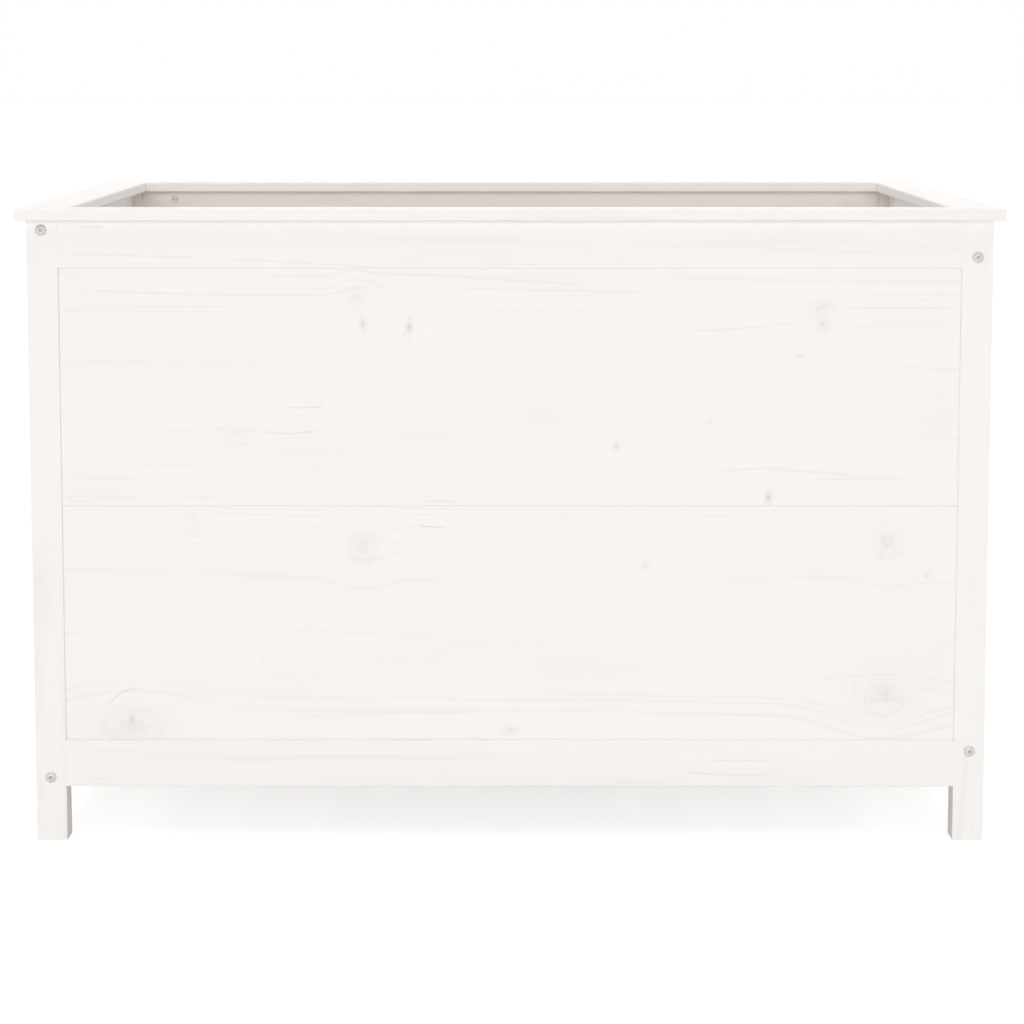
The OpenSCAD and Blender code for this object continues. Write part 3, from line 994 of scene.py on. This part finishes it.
def timber_groups() -> list[Timbers]:
    """Sorts the planter's timbers into groups, whose seeds run on from 11.

    Returns:
        The groups.
    """
    corners = dict.fromkeys(("front_left", "front_right", "back_right", "back_left"), Lay.UPRIGHT)
    walls = {side.label: Lay.WALL_X if side.is_long else Lay.WALL_Y for side in Side}
    rims = {side.label: Lay.FLAT_X if side.is_long else Lay.FLAT_Y for side in Side}
    slats = {name.removeprefix("floor_slat_"): Lay.FLAT_Y for name in SLATS}
    clear, knotty = KnotHabit(spacing=700, largest=7), KnotHabit(spacing=160)
    painted = PaintedPine("painted_pine")
    thin = PaintedPine("thin_paint", paint=srgb(243, 238, 232), grain=0.30, fibre=0.10)
    groups = (
        ("leg", corners, painted, clear),
        ("bottom_rail", walls, painted, clear),
        ("top_rail", walls, painted, clear),
        ("lower_board", walls, painted, knotty),
        ("upper_board", walls, painted, knotty),
        ("rim_board", rims, painted, clear),
        ("floor_slat", slats, thin, knotty),
        ("floor_cleat", walls, thin, clear),
        ("floor", {"bearer": Lay.WALL_X}, thin, clear),
    )
    return [
        Timbers(tuple((f"{kind}_{place}", lay) for place, lay in lays.items()), finish, habit, seed)
        for seed, (kind, lays, finish, habit) in enumerate(groups, start=11)
    ]


# --- Fasteners -------------------------------------------------------------------------------


@dataclass(frozen=True)
class DomedBolt:
    """Bolt with a domed head and a hexagon socket. Its head lies below z = 0, its shank above.

    Attributes:
        shank: Radius of the shank.
        length: Length under the head.
        head: Radius of the head.
        head_height: Height of the head.
        edge: Height of the straight edge under the dome.
        socket: Width across the flats of the socket.
        socket_depth: Depth of the socket.
        land: Width of the flat round the socket's corners.
        thread_length: Length of the thread.
        pitch: Pitch of the thread.
        thread_depth: Depth of the thread.
        tip: Chamfer at the end.
        easing: Rounding of its edges.
        sides: Number of points round it.
        dome_rows: Number of rows over its dome.
        thread_steps: Number of points to a turn of its thread.
    """

    shank: float = 3.0 * MM
    length: float = 90.0 * MM
    head: float = 6.8 * MM
    head_height: float = 2.6 * MM
    edge: float = 0.6 * MM
    socket: float = 4.0 * MM
    socket_depth: float = 1.8 * MM
    land: float = 0.8 * MM
    thread_length: float = 24.0 * MM
    pitch: float = 1.0 * MM
    thread_depth: float = 0.5 * MM
    tip: float = 1.0 * MM
    easing: float = 0.15 * MM
    sides: int = 48
    dome_rows: int = 10
    thread_steps: int = 16

    def body(self) -> np.ndarray:
        """Head and shank as one turned surface.

        The radius of the socket's rows follows a hexagon: half the width across the flats, over
        the cosine of the angle from the middle of the nearest flat. The dome's rows lie on the
        sphere through the land and the straight edge.

        Returns:
            Grid of points, from the middle of the socket's floor to the end of the shank.
        """
        angles = np.linspace(0, 2 * math.pi, self.sides, endpoint=False)
        hexagon = self.socket / 2 / np.cos((angles + math.pi / 6) % (math.pi / 3) - math.pi / 6)
        flat = self.socket / 2 / math.cos(math.pi / 6) + self.land
        rise = self.head_height - self.edge
        centre = (self.head**2 - flat**2 - rise**2) / (2 * rise)
        sphere = math.hypot(self.head, centre)
        dome = np.linspace(flat, self.head, self.dome_rows)
        dome_levels = centre - self.edge - np.sqrt(sphere**2 - dome**2)
        top, floor = -self.head_height, self.socket_depth - self.head_height
        easing, core = self.easing, self.shank - self.thread_depth
        thread_start = self.length - self.thread_length
        recess = [
            (0.0, floor + easing),
            (0.9, floor),
            (1.0, floor - easing),
            (1.0, top + 2 * easing),
            (1.08, top + 0.3 * easing),
            (1.12, top),
        ]
        turned = [
            *zip(dome, dome_levels),
            (self.head, -easing),
            (self.head - easing, 0.0),
            (self.shank + easing, 0.0),
            (self.shank, easing),
            (self.shank, thread_start),
            (core, thread_start + easing * 3),
            (core, self.length - self.tip),
            (self.shank - self.tip, self.length - self.tip / 2),
            (self.shank - self.tip - easing, self.length),
            (0.0, self.length),
        ]
        return lathe(angles, hexagon, recess, turned)

    def thread(self) -> np.ndarray:
        """The thread on the end of the shank.

        Returns:
            Grid of points.
        """
        core, crest = (self.shank - self.thread_depth,) * 2, (self.shank,) * 2
        levels = (self.length - self.thread_length, self.length - self.tip)
        return helical_ridge(core, crest, levels, self.pitch, self.thread_steps)

    def add_to(self, piece: Piece, turn: np.ndarray, place: np.ndarray) -> None:
        """Adds the bolt to a piece. The first four rows of its body are the socket."""
        piece.add(self.body(), turn, place, recess_rows=4)
        piece.add(self.thread(), turn, place)


@dataclass(frozen=True)
class WoodScrew:
    """Countersunk wood screw with a cross recess. Its head is level with z = 0, its tip down.

    Attributes:
        length: Whole length.
        shank: Radius of the shank and of the thread's crest.
        core: Radius of the core under the thread.
        head: Radius of the head.
        edge: Height of the head's straight edge.
        arm: Length of the recess's arms from the middle.
        slot: Half the width of an arm.
        recess: Depth of the recess.
        thread_share: Share of the length that is threaded.
        pitch: Pitch of the thread.
        point: Length of the point.
        easing: Rounding of its edges.
        thread_steps: Number of points to a turn of its thread.
    """

    length: float = 40.0 * MM
    shank: float = 2.0 * MM
    core: float = 1.35 * MM
    head: float = 4.0 * MM
    edge: float = 0.4 * MM
    arm: float = 2.3 * MM
    slot: float = 0.48 * MM
    recess: float = 1.9 * MM
    thread_share: float = 0.6
    pitch: float = 1.8 * MM
    point: float = 6.0 * MM
    easing: float = 0.12 * MM
    thread_steps: int = 12

    def angles(self) -> np.ndarray:
        """Spaces the angles round the axis, with one on every corner of the cross.

        Returns:
            The angles.
        """
        corner = math.asin(self.slot / self.arm)
        side = np.linspace(corner, math.pi / 4, 4)
        quarter = np.concatenate([-side[::-1], [0.0], side[:-1]])
        return np.concatenate([quarter + arm * math.pi / 2 for arm in range(4)])

    def cross(self, angles: np.ndarray) -> np.ndarray:
        """Outline of the recess.

        Its radius is half the arm's width over the sine of the angle from the nearest arm, and
        never more than the arm's length.

        Args:
            angles: Angles round the axis.

        Returns:
            Radius at each angle.
        """
        from_arm = np.abs((angles + math.pi / 4) % (math.pi / 2) - math.pi / 4)
        return np.minimum(self.arm, self.slot / np.maximum(np.sin(from_arm), self.slot / self.arm))

    def body(self) -> np.ndarray:
        """Head, shank and point as one turned surface.

        Returns:
            Grid of points, from the recess to the tip.
        """
        easing = self.easing
        thread_start = -self.length * (1 - self.thread_share)
        recess = [(0.0, -self.recess), (0.45, -self.recess + easing), (0.92, -2 * easing), (1.06, 0.0)]
        turned = [
            (self.head - 2 * easing, 0.0),
            (self.head, -easing),
            (self.head, -self.edge),
            (self.shank, -self.edge - (self.head - self.shank)),
            (self.shank, thread_start + self.pitch),
            (self.core, thread_start),
            (self.core, self.point - self.length),
            (self.core * 0.5, self.point * 0.4 - self.length),
            (0.0, -self.length),
        ]
        return lathe(self.angles(), self.cross(self.angles()), recess, turned)

    def threads(self) -> list[np.ndarray]:
        """The thread in two grids.

        Returns:
            The thread on the straight core, and the one on the point.
        """
        half, point, end = self.pitch / 2, self.point - self.length, self.pitch * 0.4 - self.length
        start = -self.length * (1 - self.thread_share) - half
        core, tip_core, tip_crest = self.core, 0.2 * self.core, 0.5 * self.core
        stretches = (
            ((core, core), (self.shank, self.shank), (start, point)),
            ((core, tip_core), (self.shank, tip_crest), (point + half, end)),
        )
        return [helical_ridge(*stretch, self.pitch, self.thread_steps) for stretch in stretches]

    def add_to(self, piece: Piece, turn: np.ndarray, place: np.ndarray) -> None:
        """Adds the screw to a piece. The first three rows of its body are the recess."""
        piece.add(self.body(), turn, place, recess_rows=3)
        for grid in self.threads():
            piece.add(grid, turn, place)


Seat = tuple[np.ndarray, np.ndarray]
NO_TURN = np.eye(3)


@dataclass(frozen=True)
class Fasteners:
    """The bolts and wood screws of the planter, at the places that the joinery gives them.

    A screw's seat is the turn that takes it from upright to its own direction, and its place.

    Attributes:
        bolt_depth: From a wall's outer face to the bolts' centre line.
        bolt_edge_outer: From a rail's free edge to its bolt at the wall's right-hand end.
        bolt_edge_inner: From a rail's other edge to its bolt at the left-hand end.
        sink: Depth of a screw's head below the surface.
        rim_screw_pitch: Largest distance between two rim screws.
        rim_screw_inset: From the end of a rail to its first rim screw.
        cleat_screw_rise: Height of a cleat's screws above its lower edge.
        cleat_screw_inset: From the end of a side cleat to its first screw.
        slat_screw_inset: From the end of a side cleat to the first slat screw.
        side_screws: Number of screws in a side cleat, and in the slat that lies along it.
    """

    bolt_depth: float = 19.0 * MM
    bolt_edge_outer: float = 11.5 * MM
    bolt_edge_inner: float = 13.5 * MM
    sink: float = 0.5 * MM
    rim_screw_pitch: float = 320 * MM
    rim_screw_inset: float = 90 * MM
    cleat_screw_rise: float = 9 * MM
    cleat_screw_inset: float = 25 * MM
    slat_screw_inset: float = 60 * MM
    side_screws: int = 4

    def build(self, plating: bpy.types.Material) -> None:
        """Builds every fastener and lets it stand for its node.

        Args:
            plating: The plating's material.
        """
        screw, lap_screw = WoodScrew(), WoodScrew(length=30 * MM)
        kinds = (
            ("rim_screw", screw, self.rim_seats()),
            ("cleat_screw", screw, self.cleat_seats()),
            ("slat_screw", screw, self.slat_seats()),
            ("bearer_screw", lap_screw, self.bearer_seats()),
        )
        pieces = [(self.wall_bolts(side), f"wall_bolts_{side.label}", "bolt_steel") for side in Side]
        for kind, used, seats in kinds:
            pieces.append((self.driven(f"{kind}_set", used, seats), f"{kind}s", "screw_steel"))
        for gathered, node, slot in pieces:
            piece = gathered.build()
            piece.data.materials.append(plating)
            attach(piece, BODY)
            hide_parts(node)
            report(piece, node)

    def wall_bolts(self, side: Side) -> Piece:
        """Places the four bolts of a wall, two at each end, with their heads on the legs' side faces.

        Args:
            side: The wall.

        Returns:
            The piece.
        """
        bolt, piece = DomedBolt(), Piece(f"bolt_set_{side.label}")
        bottom, top = box(f"bottom_rail_{side.label}"), box(f"top_rail_{side.label}")
        head_reach = side.length / 2 + np.ptp(box("leg_front_left")[:, 0])
        for end in (-1, 1):
            rise = self.bolt_edge_outer if end == 1 else np.ptp(bottom[:, 2]) - self.bolt_edge_inner
            for level in (bottom[0, 2] + rise, top[1, 2] - rise):
                place = side.place(end * head_reach, self.bolt_depth, level)
                bolt.add_to(piece, side.turn @ turn_about(1, -end), place)
        return piece

    def driven(self, name: str, screw: WoodScrew, seats: list[Seat]) -> Piece:
        """Drives like screws in at their seats, until their heads lie a little under the surface.

        Args:
            name: Name of the piece.
            screw: The screw.
            seats: Where they go.

        Returns:
            The piece.
        """
        piece = Piece(name)
        for turn, place in seats:
            screw.add_to(piece, turn, place - turn @ np.array([0, 0, self.sink]))
        return piece

    def rim_seats(self) -> list[Seat]:
        """Finds the seats of the rim's screws, over the middle of each top rail.

        Returns:
            The seats.
        """
        seats = []
        for side in Side:
            span = side.length - 2 * self.rim_screw_inset
            middle = np.ptp(box(f"top_rail_{side.label}")[:, 1 - side.run]) / 2
            top = box(f"rim_board_{side.label}")[1, 2]
            xs = spread(math.ceil(span / self.rim_screw_pitch) + 1, span)
            seats += [(NO_TURN, side.place(x, middle, top)) for x in xs]
        return seats

    def slats(self) -> list[np.ndarray]:
        """Boxes of the floor slats, from left to right."""
        return sorted((box(name) for name in SLATS), key=lambda slat: slat[0, 0])

    def slat_seats(self) -> list[Seat]:
        """Finds the seats of the slats' screws.

        The first and the last slat are screwed along a side cleat, and the others to the long
        cleats and the bearer.

        Returns:
            The seats.
        """
        cleat, long_y = box("floor_cleat_left"), box("floor_cleat_front")[:, 1].mean()
        slats, seats = self.slats(), []
        for number, slat in enumerate(slats):
            middle, quarter = slat[:, 0].mean(), np.ptp(slat[:, 0]) / 4
            xs, ys = (middle - quarter, middle + quarter), (long_y, 0.0, -long_y)
            if number in (0, len(slats) - 1):
                xs = (math.copysign(cleat[:, 0].mean(), middle),)
                ys = spread(self.side_screws, np.ptp(cleat[:, 1]) - 2 * self.slat_screw_inset)
            seats += [(NO_TURN, np.array([x, y, slat[1, 2]])) for x in xs for y in ys]
        return seats

    def cleat_seats(self) -> list[Seat]:
        """Finds the seats of the cleats' screws, which go outwards into the bottom rails.

        Those of the long cleats lie under every other gap between two slats.

        Returns:
            The seats.
        """
        slats, seats = self.slats(), []
        gaps = [(left[1, 0] + right[0, 0]) / 2 for left, right in zip(slats, slats[1:])]
        for side in Side:
            cleat = box(f"floor_cleat_{side.label}")
            span = np.ptp(cleat[:, side.run])
            xs = spread(self.side_screws, span - 2 * self.cleat_screw_inset)
            if side.is_long:
                xs = [x for x in gaps[::2] if abs(x) < span / 2 - 2 * WoodScrew.head]
            inner_face = side.reach - np.abs(cleat[:, 1 - side.run]).min()
            level = cleat[0, 2] + self.cleat_screw_rise
            turn = side.turn @ turn_about(0, -1)
            seats += [(turn, side.place(x, inner_face, level)) for x in xs]
        return seats

    def bearer_seats(self) -> list[Seat]:
        """Seats of the screws through the bearer's ends, over the side cleats."""
        x, top = box("floor_cleat_left")[:, 0].mean(), box("floor_bearer")[1, 2]
        return [(NO_TURN, np.array([end * x, 0.0, top])) for end in (1, -1)]


@dataclass(frozen=True)
class BarrelNuts:
    """The barrel nuts keep the frame's own solids: a slotted end and a cross hole for the bolt.

    Attributes:
        softening: Radius to which their edges are broken.
    """

    softening: float = 0.25 * MM

    def dress(self, plating: bpy.types.Material) -> None:
        """Plates the nuts and breaks their edges.

        Args:
            plating: The plating's material.
        """
        for side in Side:
            dress_solid(f"barrel_nuts_{side.label}", plating, self.softening, 40, 2)
            LOG.info("barrel_nuts_%s: kept", side.label)


# --- Studio ----------------------------------------------------------------------------------


@dataclass(frozen=True)
class Lamp:
    """A large soft light, far away.

    Attributes:
        name: Name of the lamp.
        azimuth: Where it stands: 0 is in front, 90 on the right, in degrees.
        elevation: Its height above the horizon, in degrees.
        level: Brightness that it alone gives to a white face turned to it, where 1 is full white.
        spread: Its apparent width, in degrees.
    """

    name: str
    azimuth: float
    elevation: float
    level: float
    spread: float


@dataclass(frozen=True)
class Studio:
    """A pale floor without an edge, soft lamps, a white surround and the camera.

    Attributes:
        lamps: The lamps.
        ambient: Brightness of the surround as a light.
        floor_reach: Half the floor's side.
        floor_level: Level of the floor, just under the feet.
        floor_paint: Colour of the floor.
        floor_lift: Brightness that the floor has for the camera beyond what the lamps give it.
        camera_place: Where the camera stands.
        camera_pitch: How far it looks down, in degrees.
        camera_yaw: How far it looks to the right, in degrees.
        camera_sight: How far it sees.
        lens: Focal length, in millimetres.
        film: Width of the picture that the lens is for, in millimetres.
        shift: How far the picture is moved up, as a share of its width.
    """

    lamps: tuple[Lamp, ...] = (
        Lamp("front_panel", azimuth=-3, elevation=9, level=0.37, spread=30),
        Lamp("back_panel", azimuth=177, elevation=24, level=0.12, spread=40),
        Lamp("left_panel", azimuth=-100, elevation=9, level=0.26, spread=50),
        Lamp("right_panel", azimuth=100, elevation=9, level=0.26, spread=50),
        Lamp("overhead_panel", azimuth=0, elevation=86, level=0.28, spread=60),
    )
    ambient: float = 0.41
    floor_reach: float = 60.0
    floor_level: float = -0.05 * MM
    floor_paint: Colour = (0.9, 0.9, 0.9, 1.0)
    floor_lift: float = 0.60
    camera_place: tuple[float, float, float] = (0.0067, -3.7453, 0.9541)
    camera_pitch: float = 6.272
    camera_yaw: float = -0.067
    camera_sight: float = 200.0
    lens: float = 97.59
    film: float = 36.0
    shift: float = -0.14

    def build(self) -> None:
        """Makes the whole studio."""
        self.camera()
        self.floor()
        self.surround()
        for lamp in self.lamps:
            self.light(lamp)
        bpy.context.scene.view_settings.view_transform = "Standard"

    def camera(self) -> None:
        """Stands the camera where the photographer's stood."""
        lens = bpy.data.cameras.new("camera")
        lens.sensor_width = self.film
        lens.lens = self.lens
        lens.shift_y = self.shift
        lens.clip_end = self.camera_sight
        camera = placed("camera", lens)
        camera.location = self.camera_place
        pitch, yaw = math.radians(90 - self.camera_pitch), math.radians(-self.camera_yaw)
        camera.rotation_euler = (pitch, 0, yaw)
        bpy.context.scene.camera = camera

    @staticmethod
    def seen_rays(graph: Graph) -> Wire:
        """1 for rays of the camera and for those that metal or glass sends on, otherwise 0."""
        path = graph.node("LightPath", output="Is Camera Ray")
        return path.at_least(path.other("Is Glossy Ray")).at_least(path.other("Is Transmission Ray"))

    def floor(self) -> None:
        """Lays the floor: pale, with its shadows kept, and lifted to white for what sees it."""
        ways = ((-1, -1), (1, -1), (1, 1), (-1, 1))
        corners = [(x * self.floor_reach, y * self.floor_reach, self.floor_level) for x, y in ways]
        mesh = bpy.data.meshes.new("floor")
        mesh.from_pydata(corners, [], [(0, 1, 2, 3)])
        floor = placed("floor", mesh)
        graph, material = Graph.of_material("floor_paint")
        diffuse = graph.node("BsdfDiffuse", {"Color": self.floor_paint})
        lift = self.seen_rays(graph) * self.floor_lift
        glow = graph.node("Emission", {"Color": WHITE, "Strength": lift})
        graph.node("OutputMaterial", {"Surface": graph.node("AddShader", {0: diffuse, 1: glow})})
        mesh.materials.append(material)

    def surround(self) -> None:
        """Lights the scene evenly from all round, and looks plain white itself."""
        world = bpy.data.worlds.new("surround")
        world.use_nodes = True
        graph = Graph(world.node_tree)
        light = graph.node("Background", {"Color": WHITE, "Strength": self.ambient})
        white = graph.node("Background", {"Color": WHITE, "Strength": 1.0})
        shown = graph.node("MixShader", {0: self.seen_rays(graph), 1: light, 2: white})
        graph.node("OutputWorld", {"Surface": shown})
        bpy.context.scene.world = world

    @staticmethod
    def light(lamp: Lamp) -> None:
        """Hangs one lamp: a sun of some width, which looks from its place to the middle.

        Args:
            lamp: The lamp.
        """
        sun = bpy.data.lights.new(lamp.name, "SUN")
        sun.energy = lamp.level * math.pi
        sun.angle = math.radians(lamp.spread)
        hung = placed(lamp.name, sun)
        hung.rotation_euler = (math.radians(90 - lamp.elevation), 0, math.radians(lamp.azimuth))


def main() -> None:
    """Builds the looks in order and reports each piece."""
    logging.basicConfig(level=logging.INFO, format="%(name)s: %(message)s")
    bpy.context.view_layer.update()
    Studio().build()
    for group in timber_groups():
        group.dress()
    plating = ZincPlate().material()
    BarrelNuts().dress(plating)
    Fasteners().build(plating)


if __name__ == "__main__":
    main()
